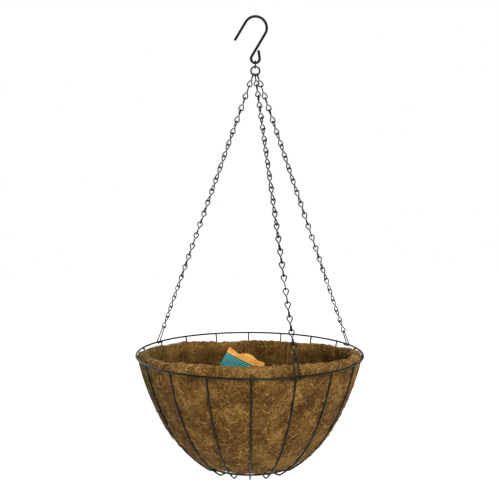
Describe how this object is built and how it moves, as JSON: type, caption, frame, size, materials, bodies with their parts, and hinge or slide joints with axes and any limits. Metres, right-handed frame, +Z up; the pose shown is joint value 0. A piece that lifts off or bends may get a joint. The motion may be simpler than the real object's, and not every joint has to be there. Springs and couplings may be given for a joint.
{
  "type": "hanging basket",
  "caption": "Wire hanging basket with a pressed coir liner, hung by jack chains and wire clips from a gather ring and an S-hook.",
  "frame": {"origin": "the seat inside the S-hook's upper bend, where the hook rests on its bracket", "axes": "+Z up, +X to the right seen from the front, the front chain and card face -Y"},
  "size_m": [0.305, 0.305, 0.6016],
  "materials": {
    "coated_wire": "semi-gloss black powder coat with a green cast",
    "chain_wire": "semi-gloss black coating",
    "coir": "matte felted coconut fibre",
    "card": "satin printed card"
  },
  "bodies": {
    "hook": {"hook": "coated_wire"},
    "top_link": {"top_link": "coated_wire"},
    "basket": {"gather_ring": "coated_wire", "rim_ring": "coated_wire", "base_ring": "coated_wire", "rib_01": "coated_wire", "rib_02": "coated_wire", "rib_03": "coated_wire", "rib_04": "coated_wire", "rib_05": "coated_wire", "rib_06": "coated_wire", "rib_07": "coated_wire", "rib_08": "coated_wire", "rib_09": "coated_wire", "rib_10": "coated_wire", "rib_11": "coated_wire", "rib_12": "coated_wire", "rib_13": "coated_wire", "rib_14": "coated_wire", "rib_15": "coated_wire", "rib_16": "coated_wire", "rib_17": "coated_wire", "rib_18": "coated_wire", "liner": "coir", "care_card": "card"},
    "front_chain_1": {"front_chain_1": "chain_wire"},
    "front_chain_2": {"front_chain_2": "chain_wire"},
    "front_chain_3": {"front_chain_3": "chain_wire"},
    "front_clip": {"front_clip": "chain_wire"},
    "right_chain_1": {"right_chain_1": "chain_wire"},
    "right_chain_2": {"right_chain_2": "chain_wire"},
    "right_chain_3": {"right_chain_3": "chain_wire"},
    "right_clip": {"right_clip": "chain_wire"},
    "left_chain_1": {"left_chain_1": "chain_wire"},
    "left_chain_2": {"left_chain_2": "chain_wire"},
    "left_chain_3": {"left_chain_3": "chain_wire"},
    "left_clip": {"left_clip": "chain_wire"}
  },
  "joints": [
    {"name": "hook_swing", "type": "hinge", "parent": "hook", "child": "top_link", "pos_m": [0, 0, -0.05914], "axis": [1, 0, 0], "range_deg": [-35, 35]},
    {"name": "link_swing", "type": "hinge", "parent": "top_link", "child": "basket", "pos_m": [0, 0, -0.06604], "axis": [0, 1, 0], "range_deg": [-30, 30]},
    {"name": "front_chain_1_swing", "type": "hinge", "parent": "basket", "child": "front_chain_1", "pos_m": [0, 0, -0.07549], "axis": [-1, 0, 0], "range_deg": [0, 40]},
    {"name": "front_chain_2_swing", "type": "hinge", "parent": "front_chain_1", "child": "front_chain_2", "pos_m": [0.01558, -0.04743, -0.19736], "axis": [-0.8164, -0.5658, 0.1158], "range_deg": [0, 30]},
    {"name": "front_chain_3_swing", "type": "hinge", "parent": "front_chain_2", "child": "front_chain_3", "pos_m": [0.031, -0.09433, -0.31789], "axis": [-0.9758, 0.1306, -0.1756], "range_deg": [0, 30]},
    {"name": "front_clip_swing", "type": "hinge", "parent": "front_chain_3", "child": "front_clip", "pos_m": [0.04467, -0.13592, -0.42477], "axis": [-0.9386, -0.3448, 0.0142], "range_deg": [0, 50]},
    {"name": "right_chain_1_swing", "type": "hinge", "parent": "basket", "child": "right_chain_1", "pos_m": [0.00222, -0.0003, -0.0728], "axis": [0.0751, -0.9887, -0.13], "range_deg": [0, 40]},
    {"name": "right_chain_2_swing", "type": "hinge", "parent": "right_chain_1", "child": "right_chain_2", "pos_m": [0.04676, 0.01946, -0.19736], "axis": [0.6493, -0.7521, 0.1129], "range_deg": [0, 30]},
    {"name": "right_chain_3_swing", "type": "hinge", "parent": "right_chain_2", "child": "right_chain_3", "pos_m": [0.09072, 0.03896, -0.32029], "axis": [-0.2411, -0.9415, -0.2356], "range_deg": [0, 30]},
    {"name": "right_clip_swing", "type": "hinge", "parent": "right_chain_3", "child": "right_clip", "pos_m": [0.1286, 0.05577, -0.42622], "axis": [0.3857, -0.9226, -0.0085], "range_deg": [0, 50]},
    {"name": "left_chain_1_swing", "type": "hinge", "parent": "basket", "child": "left_chain_1", "pos_m": [-0.0022, -0.00038, -0.07283], "axis": [0.0953, 0.9817, 0.1651], "range_deg": [0, 40]},
    {"name": "left_chain_2_swing", "type": "hinge", "parent": "left_chain_1", "child": "left_chain_2", "pos_m": [-0.04785, 0.02476, -0.19601], "axis": [0.6842, 0.7215, -0.1063], "range_deg": [0, 30]},
    {"name": "left_chain_3_swing", "type": "hinge", "parent": "left_chain_2", "child": "left_chain_3", "pos_m": [-0.0929, 0.04958, -0.31757], "axis": [-0.1536, 0.9555, 0.252], "range_deg": [0, 30]},
    {"name": "left_clip_swing", "type": "hinge", "parent": "left_chain_3", "child": "left_clip", "pos_m": [-0.13172, 0.07097, -0.42233], "axis": [0.4909, 0.8712, -0.0041], "range_deg": [0, 50]}
  ]
}
